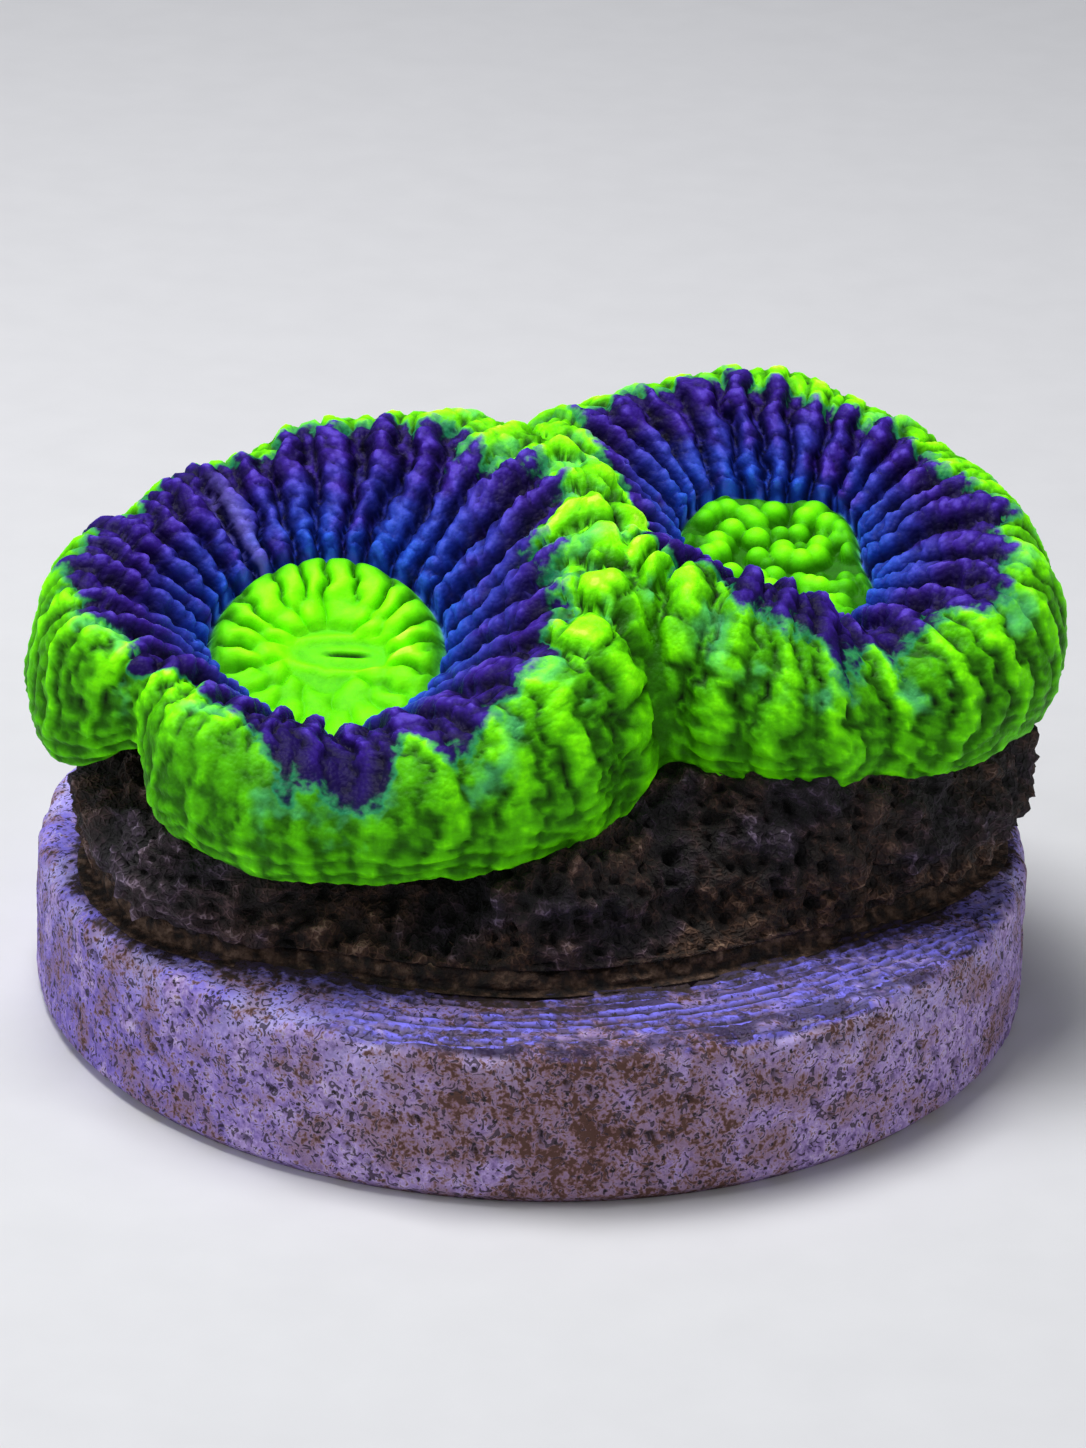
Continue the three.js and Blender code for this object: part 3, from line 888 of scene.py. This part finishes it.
@dataclass
class Flesh:
    """The living tissue: two bowls grown into one, with folds, beads, lobes and pebbles.

    Lengths are in millimetres.
    """

    polyps: tuple[Polyp, ...] = (LOWER_POLYP, UPPER_POLYP)
    folds: float = 30.0  # tall folds round each bowl, with a low one between each pair
    fold_height: float = 0.7
    bead: float = 0.5  # length of a bead along a fold
    pillow: float = 1.1  # length of a bead on the shared wall, where they are swollen
    crumb: float = 0.24  # size of the fine grain over everything
    crumb_height: float = 0.045
    swell_height: float = 0.7  # of the slow swells of the walls
    lobes: float = 20.0  # petals round the oral disc
    lobe_height: float = 0.5
    lump: float = 0.62  # size of the lumps on the upper oral disc
    crack_depth: float = 0.3  # round the oral disc
    step: float = 0.42  # height from one ripple to the next at the flesh's lower edge
    ripple_height: float = 0.2
    seam_width: float = 0.95  # how far the two bowls blend either side of where they meet
    crease_width: float = 0.28  # how far the folds are flattened there
    seam_passes: int = 60  # rounds of smoothing
    seam_ease: float = 0.6  # share of the way that a point moves towards its neighbours in a round
    same_place: float = 1e-4  # a point further than this from the bare bowls was made by joining them

    def build(self, finish: bpy.types.Material) -> bpy.types.Object:
        """Builds the tissue.

        Args:
            finish: The tissue's material.

        Returns:
            The finished piece.
        """
        made = [polyp.solid() for polyp in self.polyps]
        (piece, _), (other, _) = made
        known = {name: np.concatenate([values[name] for _, values in made]) for name in made[0][1]}
        places = np.concatenate([points_of(each.data) for each, _ in made])
        self.join(piece, other)
        piece.name = piece.data.name = "coral_tissue"
        self.settle(piece.data, places, known)
        self.relief(piece, finish)
        return piece

    @staticmethod
    def join(piece: bpy.types.Object, other: bpy.types.Object) -> None:
        """Joins the second bowl to the first, in one closed skin.

        Args:
            piece: The bowl that takes the joined mesh.
            other: The bowl that is used up.
        """
        union = piece.modifiers.new("grown together", "BOOLEAN")
        union.operation = "UNION"
        union.solver = "MANIFOLD"
        union.object = other
        seen = piece.evaluated_get(bpy.context.evaluated_depsgraph_get())
        joined = bpy.data.meshes.new_from_object(seen)
        piece.modifiers.remove(union)
        piece.data = joined
        bpy.data.objects.remove(other)

    def settle(self, mesh: bpy.types.Mesh, places: np.ndarray, known: dict[str, np.ndarray]) -> None:
        """Blends the skin where the bowls meet and marks every point for the folds and the colours.

        Args:
            mesh: The joined skin.
            places: The points of the two bowls before they were joined.
            known: What those points know, by name.
        """
        tree = KDTree(len(places))
        for i, place in enumerate(places):
            tree.insert(place, i)
        tree.balance()
        xyz = points_of(mesh)
        found = [tree.find(place) for place in xyz]
        match = np.array([each[1] for each in found])
        fresh = np.array([each[2] for each in found]) > self.same_place
        seam = KDTree(int(fresh.sum()))
        for i, place in enumerate(xyz[fresh]):
            seam.insert(place, i)
        seam.balance()
        away = np.array([seam.find(place)[2] for place in xyz])
        blend = np.exp(-((away / self.seam_width) ** 2))

        edges = np.empty(2 * len(mesh.edges), np.int64)
        mesh.edges.foreach_get("vertices", edges)
        one, two = edges.reshape(-1, 2).T
        count = np.bincount(edges, minlength=len(xyz))[:, None]
        values = {name: each[match] for name, each in known.items()}
        moving = np.column_stack([xyz, values["along"], values["band"]])
        for _ in range(self.seam_passes):
            total = np.stack(
                [
                    np.bincount(one, moving[two, k], len(xyz)) + np.bincount(two, moving[one, k], len(xyz))
                    for k in range(moving.shape[1])
                ],
                axis=-1,
            )
            moving += self.seam_ease * blend[:, None] * (total / count - moving)
        xyz = moving[:, :3]
        mesh.vertices.foreach_set("co", (xyz * MM).astype(np.float32).ravel())
        values["along"], values["band"] = moving[:, 3], moving[:, 4]
        values["seam"] = blend
        values["crease"] = np.exp(-((away / self.crease_width) ** 2))
        self.mark(xyz, values)
        for name, each in values.items():
            store(mesh, name, each)
        mesh.update()

    @staticmethod
    def mark(xyz: np.ndarray, values: dict[str, np.ndarray]) -> None:
        """Works out where each kind of relief and colour belongs.

        Args:
            xyz: The points, in millimetres.
            values: What the points know by name, to which the marks are added.
        """
        turn, along, side = values["turn"], values["along"], values["side"]
        lower = side < 0.5
        wall = np.clip((along - 5.0) / 0.9, 0, 1)
        facing = np.where(lower, near(turn, 355, 36), near(turn, 225, 36))
        values["swollen"] = np.clip(np.maximum(facing * 1.4, values["seam"]) * wall, 0, 1)
        values["calm"] = np.where(lower, near(turn, 262, 34), 0) * np.clip((along - 6.6) / 1.2, 0, 1)
        values["lilac"] = np.where(lower, near(turn, 128, 3.5), 0) * np.clip((5.6 - along) / 1.5, 0, 1)
        values["foot"] = np.clip((4.4 - along) / 1.6, 0, 1)
        # the underside, tucked in below the margin, which the finish paints near black as painted shade
        values["under"] = np.clip((along - 10.9) / 0.7, 0, 1)

    def relief(self, piece: bpy.types.Object, finish: bpy.types.Material) -> None:
        """Raises the folds, beads, lobes, pebbles and ripples.

        Args:
            piece: The bare skin, with its marks.
            finish: The tissue's material.
        """
        sizes = {
            "Folds": self.folds,
            "Fold height": self.fold_height,
            "Bead": self.bead,
            "Pillow": self.pillow,
            "Crumb height": self.crumb_height,
            "Swell height": self.swell_height,
            "Lobes": self.lobes,
            "Lobe height": self.lobe_height,
            "Crack depth": self.crack_depth,
            "Ripple step": self.step,
            "Ripple height": self.ripple_height,
        }
        relief = Relief("flesh_relief", sizes)
        tree = relief.tree
        v = relief.values("turn", "along", "run", "reach", "side", "swollen", "calm", "crease", "under")
        v["wander"] = relief.texture(NOISE, 2.0, Detail=2.0)
        v["jitter"] = relief.texture(NOISE, 0.5, Detail=1.0)
        v["swell"] = relief.texture(NOISE, 2.8, Detail=1.0)
        v["crumb"] = relief.texture(CELLS, self.crumb)
        v["lump"] = relief.texture(CELLS, self.lump, Randomness=0.8)
        v["pi2"] = 2 * math.pi

        def put(name: str, text: str) -> None:
            """Works out one named value from the others."""
            v[name] = formula(tree, text, **v)

        # the folds: a tall one wherever the phase is whole, and a low one half way between
        put("phase", "turn * folds / pi2 - 0.55 * sin(turn - 0.2)")
        put("phase", "phase + (wander - 0.5) * 1.2 + (jitter - 0.5) * 0.4")
        put("off", "abs(fract(phase + 0.5) - 0.5)")
        put("width", "0.47 - 0.19 * smooth(3.2, 6.2, along) * (1 - 0.8 * swollen)")
        put("tall", "sqrt(max(0, 1 - (off / width) ** 2))")
        put("low", "sqrt(max(0, 1 - ((0.5 - off) / (0.52 - width)) ** 2))")
        put("share", "(0.32 + 0.48 * smooth(4.4, 6.6, along)) * (1 - 0.5 * swollen)")
        put("main", "floor(phase + 0.5)")
        put("which", "main + above(share * low, tall) * (floor(phase) + 0.5 - main)")
        put("which", "which - folds * floor(which / folds) + side * 50")
        chance = add_node(tree, "ShaderNodeTexWhiteNoise", {"W": v["which"]}, noise_dimensions="1D")
        v["luck"] = chance.outputs["Value"]
        put("ridge", "max(tall, share * low)")
        put("crown", "max(tall ** 1.5, low * (0.82 - 0.16 * smooth(6, 7.5, along)))")
        # beads strung along each fold, which swell to pillows on the shared wall
        put("string", "run / bead * (0.8 + 0.4 * luck) + 9 * luck + (wander - 0.5) * 3 + (jitter - 0.5)")
        put("beads", "sqrt(max(0, 1 - abs(2 * fract(string) - 1) ** 2.5))")
        put("string", "run / pillow * (0.85 + 0.3 * luck) + 9 * luck + (wander - 0.5) * 2")
        put("pillows", "sqrt(max(0, 1 - abs(2 * fract(string) - 1) ** 2.5))")
        put("knots", "beads + (pillows - beads) * swollen")
        put("carve", "0.23 - 0.1 * smooth(6, 7.5, along) + 0.4 * swollen")
        put("rope", "ridge * (1 - carve * (1 - knots))")
        put("rise", "sqrt(smooth(1.98, 2.7, along)) * (1 - 0.46 * smooth(4.6, 6.4, along) * (1 - swollen))")
        put("fade", "(1 - 0.35 * smooth(6.5, 9, along)) * (1 - 0.85 * smooth(9.2, 10.8, along))")
        put("fade", "fade * (1 - 0.75 * calm) * (1 - 0.65 * crease)")
        put("fold", "fold_height * (0.8 + 0.4 * luck) * (1 + 0.3 * swollen) * rise * fade * (rope - 0.4)")
        # fine grain, slow swells, and ripples at the lower edge
        put("flesh", "smooth(1.95, 2.3, along)")
        put("crumbs", "crumb_height * (0.7 - 1.8 * crumb) * flesh * (1 - 0.6 * max(swollen, crease))")
        put("crumbs", "crumbs + (0.05 * calm + 0.14 * crease) * (0.5 - lump)")
        put("swells", "swell_height * (swell - 0.5) * smooth(4.5, 6.5, along)")
        v["height"] = add_node(tree, SPLIT, [relief.place]).outputs[2]
        put("level", "height / ripple_step + (swell - 0.5) * 5 + (wander - 0.5) * 2.5")
        put("tread", "sqrt(1 - abs(2 * fract(level) - 1))")
        put("terraced", "smooth(8.4, 9.8, along)")
        put("ripples", "ripple_height * (tread - 0.5) * terraced * (1 - under) * smooth(0.3, 0.65, wander)")
        # the mouth of the lower oral disc: lips round a slit
        put("east", "reach * cos(turn) - 0.17")
        put("north", "reach * sin(turn) - 0.04")
        put("lips", "sqrt((east / 0.5) ** 2 + (north / 0.17) ** 2)")
        put("slit", "exp(0 - (north / 0.025) ** 2) * exp(0 - (east / 0.19) ** 4)")
        put("mouth", "0.08 * exp(0 - ((lips - 1.15) / 0.22) ** 2) + 0.05 * exp(0 - (lips / 0.6) ** 4)")
        put("mouth", "(mouth - 0.12 * slit) * (1 - side)")
        # the oral discs: two rings of petals on the lower one, lumps on the upper one
        put("petal_phase", "turn * lobes / pi2 + (jitter - 0.5) * 0.6 + (wander - 0.5) * 1.6")
        put("petal", "sqrt(max(0, 1 - (abs(fract(petal_phase) - 0.5) / 0.5) ** 2))")
        put("ring", "sqrt(max(0, 1 - ((reach - 0.78) / 0.25) ** 2))")
        put("inner_phase", "turn * 13 / pi2 + (wander - 0.5) * 3")
        put("inner", "sqrt(max(0, 1 - (abs(fract(inner_phase) - 0.5) / 0.5) ** 2))")
        put("inner_ring", "sqrt(max(0, 1 - ((reach - 0.52 - 0.1 * (wander - 0.5)) / 0.17) ** 2))")
        put("frontal", "smooth(0 - 0.15, 0 - 0.55, north)")
        put("inner", "0.7 * inner * inner_ring * smooth(0.9, 1.5, lips)")
        put("lower", "max(petal * ring, inner) * (1 - 0.5 * frontal)")
        put("upper", "sqrt(max(0, 1 - (lump / 0.67) ** 2)) * sqrt(max(0, 1 - (reach / 1.02) ** 8))")
        put("lobe", "lower + side * (upper - lower)")
        put("oral", "smooth(1.03, 0.99, reach)")
        put("crack", "crack_depth * exp(0 - ((reach - 1.03) / 0.035) ** 2)")
        put("disc", "oral * (lobe_height * lobe + mouth)")
        put("total", "fold + crumbs + swells + ripples + disc - crack")
        # how near each point is to a crest, which the finish paints as light and dark: painted highlight on
        # crests, lips, lobes and terrace treads, painted shade in creases, pits and the mouth's slit
        put("skin", "crown * (1 - 1.7 * carve * (1 - knots)) - 0.17 * smooth(0.3, 0.6, crumb) + 0.05")
        put("skin", "skin + (0.35 + 0.6 * tread ** 4 - skin) * 0.45 * terraced")
        put("skin", "skin + 0.28 * (0.62 - skin) * smooth(6, 7.5, along)")
        put("skin", "skin + (0.8 - 0.5 * lump - skin) * 0.75 * calm * (1 - terraced)")
        put("skin", "skin + (0.6 - 0.3 * lump - skin) * crease * smooth(6.2, 8.2, along)")
        put("middle", "3 * mouth - 0.3 * slit + 0.32 * max(frontal, smooth(0.8, 0.45, reach))")
        put("centre", "0.2 + 0.66 * lobe ** 2 + middle * (1 - side)")
        put("crest", "oral * centre + (1 - oral) * skin")
        kept = {name: v[name] for name in ("crest", "oral", "luck")}
        relief.shape(piece, v["total"], kept, finish)


@dataclass
class Stump:
    """The coral's bare skeleton below the flesh, sawn flat where it stands in the glue."""

    axis: tuple[float, float] = FOOT_AXIS
    foot_radius: tuple[float, ...] = FOOT_RADIUS
    waist_radius: tuple[float, ...] = (12.0, 11.2, 9.8, 8.2, 8.0, 9.6, 11.4, 11.2, 8.6, 8.0, 7.0, 9.2)
    top_radius: tuple[float, ...] = (11.3, 10.2, 8.8, 6.8, 6.2, 8.0, 10.4, 9.6, 8.4, 6.2, 4.8, 8.4)
    waist_height: float = 6.3
    top_heights: tuple[float, ...] = (9.2, 9.3, 9.3, 9.0, 8.3, 8.0, 8.0, 7.9, 7.7, 7.8, 8.6, 9.1)
    top_height: float = 8.0
    knob: tuple[float, float, float] = (217, 10, 1.2)  # where the front bulges: direction, width, depth
    hollow: tuple[float, float, float] = (247, 15, 1.7)  # where it is eaten back above the foot
    shadow: tuple[float, float] = (251, 9)  # the darkest part of that hollow: direction, width
    foot_band: float = 1.4  # height of the browner band round the foot
    columns: int = 400
    steps: tuple[int, ...] = (3, 6, 14, 14, 12, 12, 6, 3)
    pore: float = 0.42  # size of a pore and its wall
    nick: float = 0.32  # size of the smaller chips

    def build(self, finish: bpy.types.Material) -> bpy.types.Object:
        """Builds the skeleton.

        Args:
            finish: Its material.

        Returns:
            The finished piece.
        """
        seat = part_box("coral")[0][2] / MM
        angle = 2 * np.pi * np.arange(self.columns) / self.columns
        foot, waist, top = (keyed(k, angle) for k in (self.foot_radius, self.waist_radius, self.top_radius))
        flat = np.zeros_like(angle)
        upper = keyed(self.top_heights, angle)
        bulge = near(angle, *self.knob[:2]) * self.knob[2]
        waist = waist + bulge - near(angle, *self.hollow[:2]) * self.hollow[2]
        section = [
            (flat, flat + self.top_height),
            (top - 1.5, upper),
            (top, upper - 0.5),
            ((top + waist) / 2 + 0.4 * bulge, (upper + self.waist_height) / 2),
            (waist, flat + self.waist_height),
            (0.35 * foot + 0.65 * waist + 0.2 * bulge, flat + (seat + self.waist_height) / 2),
            (foot, flat + seat),
            (foot - 1.5, flat + seat),
            (flat, flat + seat),
        ]
        rows, _ = flow(np.array([np.stack(point, axis=-1) for point in section]), self.steps)
        rows[..., 1] = np.maximum(rows[..., 1], seat)
        piece = turned_solid("coral_skeleton", self.axis, rows)
        xyz = points_of(piece.data)
        above = xyz[:, 2] - seat
        around = np.arctan2(xyz[:, 1] - self.axis[1], xyz[:, 0] - self.axis[0])
        marks = {
            "low": np.clip(1 - above / self.foot_band, 0, 1),
            "free": np.clip(above / 0.15, 0, 1),
            "turn": around,
            "knob": near(around, *self.knob[:2]),
            "recess": near(around, *self.shadow) * np.clip((above - 0.6) / 0.8, 0, 1),
        }
        for name, values in marks.items():
            store(piece.data, name, values)
        self.relief(piece, finish)
        return piece

    def relief(self, piece: bpy.types.Object, finish: bpy.types.Material) -> None:
        """Raises the skeleton's ribs and lumps and sinks its pores.

        Args:
            piece: The bare stump.
            finish: Its material.
        """
        sizes = {"Ribs": 74.0, "Rib height": 0.3, "Swell height": 1.9, "Lump height": 1.15}
        sizes |= {"Pore depth": 0.28, "Nick depth": 0.09}
        relief = Relief("skeleton_relief", sizes)
        tree = relief.tree
        v = relief.values("turn", "free") | {"pi2": 2 * math.pi}
        v["swell"] = relief.texture(NOISE, 2.6, Detail=3.0)
        v["rough"] = relief.texture(NOISE, 0.6, Detail=5.0)
        v["pore"] = relief.texture(CELLS, self.pore)
        v["cell"] = relief.texture(CELLS, self.nick)
        v["phase"] = formula(tree, "turn * ribs / pi2 + (swell - 0.5) * 5", **v)
        v["rib"] = formula(tree, "sqrt(1 - abs(2 * fract(phase) - 1))", **v)
        v["hole"] = formula(tree, "smooth(0.42, 0.12, pore)", **v)
        v["nick"] = formula(tree, "smooth(0.4, 0.1, cell)", **v)
        height = (
            "free * (rib_height * (rib - 0.6) * smooth(0.35, 0.6, swell) + swell_height * (swell - 0.5)"
            " + lump_height * (rough - 0.5) - pore_depth * hole - nick_depth * nick)"
        )
        total = formula(tree, height, **v)
        # how far each point stands proud, which the finish paints paler: painted highlight on ribs and lumps,
        # painted shade in pores and nicks
        proud = formula(tree, "0.5 + 2.2 * (rough - 0.5) + 0.25 * rib - 0.7 * hole - 0.25 * nick", **v)
        relief.shape(piece, total, {"proud": proud}, finish)


@dataclass
class GlueBed:
    """The set glue between the skeleton's foot and the disc, lumpy where it was squeezed out."""

    axis: tuple[float, float] = FOOT_AXIS
    foot_radius: tuple[float, ...] = FOOT_RADIUS
    spread: float = 0.05  # how far it runs out past the foot
    margin: float = 1.0  # how far it stays from the disc's rim
    columns: int = 360
    steps: tuple[int, ...] = (3, 8, 10, 10, 4, 3)

    def build(self, finish: bpy.types.Material) -> bpy.types.Object:
        """Builds the glue.

        Args:
            finish: Its material.

        Returns:
            The finished piece.
        """
        low, high = (corner[2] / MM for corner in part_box("glue_bed"))
        angle = 2 * np.pi * np.arange(self.columns) / self.columns
        wave = 1 + 0.35 * np.sin(3 * angle + 1) + 0.3 * np.sin(7 * angle) + 0.2 * np.sin(17 * angle + 2)
        reach = keyed(self.foot_radius, angle) + self.spread * wave
        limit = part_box("frag_disc")[1][0] / MM - self.margin
        along = self.axis[0] * np.cos(angle) + self.axis[1] * np.sin(angle)
        reach = np.minimum(reach, -along + np.sqrt(along**2 + limit**2 - np.hypot(*self.axis) ** 2))
        flat = np.zeros_like(angle)
        section = [
            (flat, flat + high),
            (reach - 1.6, flat + high + 0.3),
            (reach - 0.8, flat + high + 0.1),
            (reach - 0.2, flat + high - 0.05),
            (reach, flat + low + 0.03),
            (reach - 0.4, flat + low),
            (flat, flat + low),
        ]
        rows, _ = flow(np.array([np.stack(point, axis=-1) for point in section]), self.steps)
        piece = turned_solid("glue", self.axis, rows)
        xyz = points_of(piece.data)
        store(piece.data, "free", np.clip((xyz[:, 2] - low) / 0.15, 0, 1))
        relief = Relief("glue_relief", {"Lump height": 0.35})
        v = relief.values("free")
        v["lump"] = relief.texture(NOISE, 1.1, Detail=5.0)
        v["grit"] = relief.texture(NOISE, 0.35, Detail=4.0)
        total = formula(relief.tree, "free * lump_height * ((lump - 0.5) * 2.4 + (grit - 0.5) * 1.4)", **v)
        relief.shape(piece, total, {}, finish)
        return piece


@dataclass
class FragDisc:
    """The pressed ceramic disc: pinholed, rubbed away round its upper edge and scraped across its top."""

    top_round: float = 0.55
    foot_bevel: float = 0.3
    hidden: float = 7.0  # radius within which the coral always covers the top
    edge_width: float = 0.9  # how far the wear reaches from the upper corner
    columns: int = 560
    pit: float = 0.5  # spacing of the larger pits
    film: float = 0.8  # how far the brown film creeps from the glue

    def build(self, finish: bpy.types.Material) -> bpy.types.Object:
        """Builds the disc.

        Args:
            finish: Its material.

        Returns:
            The finished piece.
        """
        low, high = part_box("frag_disc")
        radius = high[0] / MM
        height = high[2] / MM
        arc = np.linspace(0, np.pi / 2, 12)
        outline = [(0, 0), (radius * 0.5, 0), (radius * 0.9, 0)]
        outline += [(radius - self.foot_bevel * (1 - f), self.foot_bevel * f) for f in np.linspace(0, 1, 4)]
        outline += [(radius, z) for z in np.linspace(self.foot_bevel, height - self.top_round, 24)[1:-1]]
        middle = (radius - self.top_round, height - self.top_round)
        outline += [
            (middle[0] + self.top_round * math.cos(a), middle[1] + self.top_round * math.sin(a)) for a in arc
        ]
        outline += [(r, height) for r in np.linspace(radius - self.top_round, self.hidden, 38)[1:]]
        outline += [(self.hidden / 2, height), (0, height)]
        rows = np.repeat(np.array(outline[::-1], float)[:, None, :], self.columns, axis=1)
        piece = turned_solid("disc", (0.0, 0.0), rows)
        xyz = points_of(piece.data)
        corner = np.hypot(np.hypot(xyz[:, 0], xyz[:, 1]) - radius, xyz[:, 2] - height)
        east, north = xyz[:, 0] - FOOT_AXIS[0], xyz[:, 1] - FOOT_AXIS[1]
        gap = np.hypot(east, north) - keyed(FOOT_RADIUS, np.arctan2(north, east))
        level = np.clip((xyz[:, 2] - height + 0.3) / 0.2, 0, 1)
        marks = {
            "free": np.clip((xyz[:, 2] - 0.1) / 0.5, 0, 1),
            "top": level,
            "edge": np.exp(-((corner / self.edge_width) ** 2)),
            "film": np.exp(-np.maximum(gap, 0) / self.film) * level,
        }
        for name, values in marks.items():
            store(piece.data, name, values)
        self.relief(piece, finish)
        return piece

    def relief(self, piece: bpy.types.Object, finish: bpy.types.Material) -> None:
        """Wears the edge, sinks the pits and scrapes the top.

        Args:
            piece: The bare disc.
            finish: Its material.
        """
        sizes = {"Pit depth": 0.14, "Wear": 0.35, "Scrape depth": 0.07, "Scrape spacing": 0.36}
        sizes |= {"Swell height": 0.25, "Lump height": 0.12}
        relief = Relief("disc_relief", sizes)
        tree = relief.tree
        v = relief.values("free", "top", "edge")
        v["wave"] = relief.texture(NOISE, 1.8, Detail=3.0)
        v["rough"] = relief.texture(NOISE, 0.45, Detail=4.0)
        cells = add_node(tree, CELLS, {"Vector": relief.place, "Scale": 1 / self.pit})
        v["cell"] = cells.outputs["Distance"]
        v["luck"] = add_node(tree, SPLIT, [cells.outputs["Color"]]).outputs[0]
        split = add_node(tree, SPLIT, [relief.place])
        v |= {"x": split.outputs[0], "y": split.outputs[1]}

        def put(name: str, text: str) -> None:
            """Works out one named value from the others."""
            v[name] = formula(tree, text, **v)

        # scrapes in gently bowed rows across the front, each row with a line of its own luck
        put("across", "(y - 0.09 * x - 0.042 * x * x) / scrape_spacing")
        put("across", "across + (wave - 0.5) * 0.7 + (rough - 0.5) * 0.25")
        put("front", "smooth(0 - 6, 0 - 8, y - 0.3 * x) * smooth(0 - 6, 0 - 3, x) * top")
        put("line", "fract(sin(floor(across + 0.5) * 12.99) * 43758.5)")
        put("groove", "smooth(0.8 - 0.55 * line, 0.96, abs(2 * fract(across) - 1))")
        put("scrape", "groove * smooth(0.2, 0.45, line + rough - 0.5) * front")
        put("streak", "front * smooth(0.4, 0, scrape) * smooth(0.4, 0.5, rough * 0.4 + wave * 0.6)")
        # pits of every size, and the wear of the upper edge, which the finish also paints paler, partly as a
        # painted highlight
        put("pit", "smooth(0.3 * luck + 0.02, 0.3 * luck - 0.12, cell) * smooth(0.35, 0.5, luck)")
        put("lost", "wear * edge * smooth(0.42, 0.68, wave) + scrape_depth * scrape + pit_depth * pit")
        put("total", "free * (swell_height * (wave - 0.5) + lump_height * (rough - 0.5) - lost)")
        # where the edge is painted paler, for its wear and as a painted highlight
        put("worn", "edge * smooth(0.4, 0.6, wave)")
        kept = {name: v[name] for name in ("pit", "streak", "scrape", "worn", "line")}
        relief.shape(piece, v["total"], kept, finish)


# ---------------------------------------------------------------- the studio


@dataclass
class Studio:
    """A pale floor, soft lights and a camera on a long lens, looking down at the front."""

    elevation: float = 24.19  # degrees above level
    roll: float = -1.81  # degrees
    distance: float = 140.0
    target: tuple[float, float, float] = (0.162, 0.0, 6.881)
    lens: float = 138.77
    film_width: float = 36.0
    floor_side: float = 6000.0
    room_light: float = 0.17

    def camera(self) -> None:
        """Sets up the camera."""
        lift = math.radians(self.elevation)
        back = Vector((0, -math.cos(lift), math.sin(lift)))
        right = Vector((1, 0, 0))
        up = back.cross(right)
        turn = math.radians(-self.roll)
        across = math.cos(turn) * right + math.sin(turn) * up
        above = -math.sin(turn) * right + math.cos(turn) * up
        data = bpy.data.cameras.new("camera")
        data.lens = self.lens
        data.sensor_width = self.film_width
        data.clip_start = 5 * MM
        data.clip_end = 20000 * MM
        camera = bpy.data.objects.new("camera", data)
        pose = Matrix((across, above, back)).transposed().to_4x4()
        pose.translation = (Vector(self.target) + back * self.distance) * MM
        camera.matrix_world = pose
        bpy.context.scene.collection.objects.link(camera)
        bpy.context.scene.camera = camera

    def floor(self, finish: bpy.types.Material) -> None:
        """Lays the floor.

        Args:
            finish: The floor's material.
        """
        half = self.floor_side / 2 * MM
        mesh = bpy.data.meshes.new("floor")
        corners = [(-half, -half, 0), (half, -half, 0), (half, half, 0), (-half, half, 0)]
        mesh.from_pydata(corners, [], [(0, 1, 2, 3)])
        mesh.materials.append(finish)
        sheet = bpy.data.objects.new("floor", mesh)
        bpy.context.scene.collection.objects.link(sheet)
        sheet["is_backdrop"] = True

    def lights(self) -> None:
        """Hangs the soft boxes, each with its place, width, power and colour, and lights the room."""
        boxes = {
            "overhead": ((-30, 15, 150), 70, 0.21, (1.0, 1.0, 1.0)),
            "left": ((-150, -60, 90), 70, 0.06, (0.95, 0.97, 1.0)),
            "right": ((150, -50, 70), 80, 0.03, (1.0, 0.98, 0.96)),
            "front": ((10, -170, 80), 90, 0.016, (1.0, 1.0, 1.0)),
        }
        for name, (place, width, power, colour) in boxes.items():
            data = bpy.data.lights.new(name, "AREA")
            data.shape = "SQUARE"
            data.size = width * MM
            data.energy = power
            data.color = colour
            box = bpy.data.objects.new(name, data)
            box.location = Vector(place) * MM
            aim = Vector(self.target) - Vector(place)
            box.rotation_euler = aim.to_track_quat("-Z", "Y").to_euler()
            bpy.context.scene.collection.objects.link(box)
        world = bpy.data.worlds.new("room")
        bpy.context.scene.world = world
        world.use_nodes = True
        sky = world.node_tree.nodes["Background"]
        sky.inputs["Color"].default_value = linear("#dfe4ee")
        sky.inputs["Strength"].default_value = self.room_light
        bpy.context.scene.view_settings.view_transform = "Standard"


def main() -> None:
    """Builds the studio and the coral, ties each piece to its body and hides the CAD part that it stands for.
    """
    logging.basicConfig(level=logging.INFO, format="%(message)s")
    studio = Studio()
    studio.camera()
    studio.floor(StudioPaper().build())
    studio.lights()
    work = [
        (FragDisc(), PressedCeramic(), "frag_disc", "disc_ceramic"),
        (GlueBed(), FilmedGlue(), "glue_bed", "set_glue"),
        (Stump(), BareSkeleton(), "coral", "coral_tissue"),
        (Flesh(), LivingTissue(), "coral", "coral_tissue"),
    ]
    for maker, finish, node, slot in work:
        piece = maker.build(finish.build())
        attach(piece, BODY)
        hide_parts(node)
        log.info("%s: %d faces, stands for %s", piece.name, len(piece.data.polygons), node)
    sizes = {"cad": CAD_BOX, "visual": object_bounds()}
    boxes = {name: [list(corner) for corner in box] for name, box in sizes.items()}


if __name__ == "__main__":
    main()
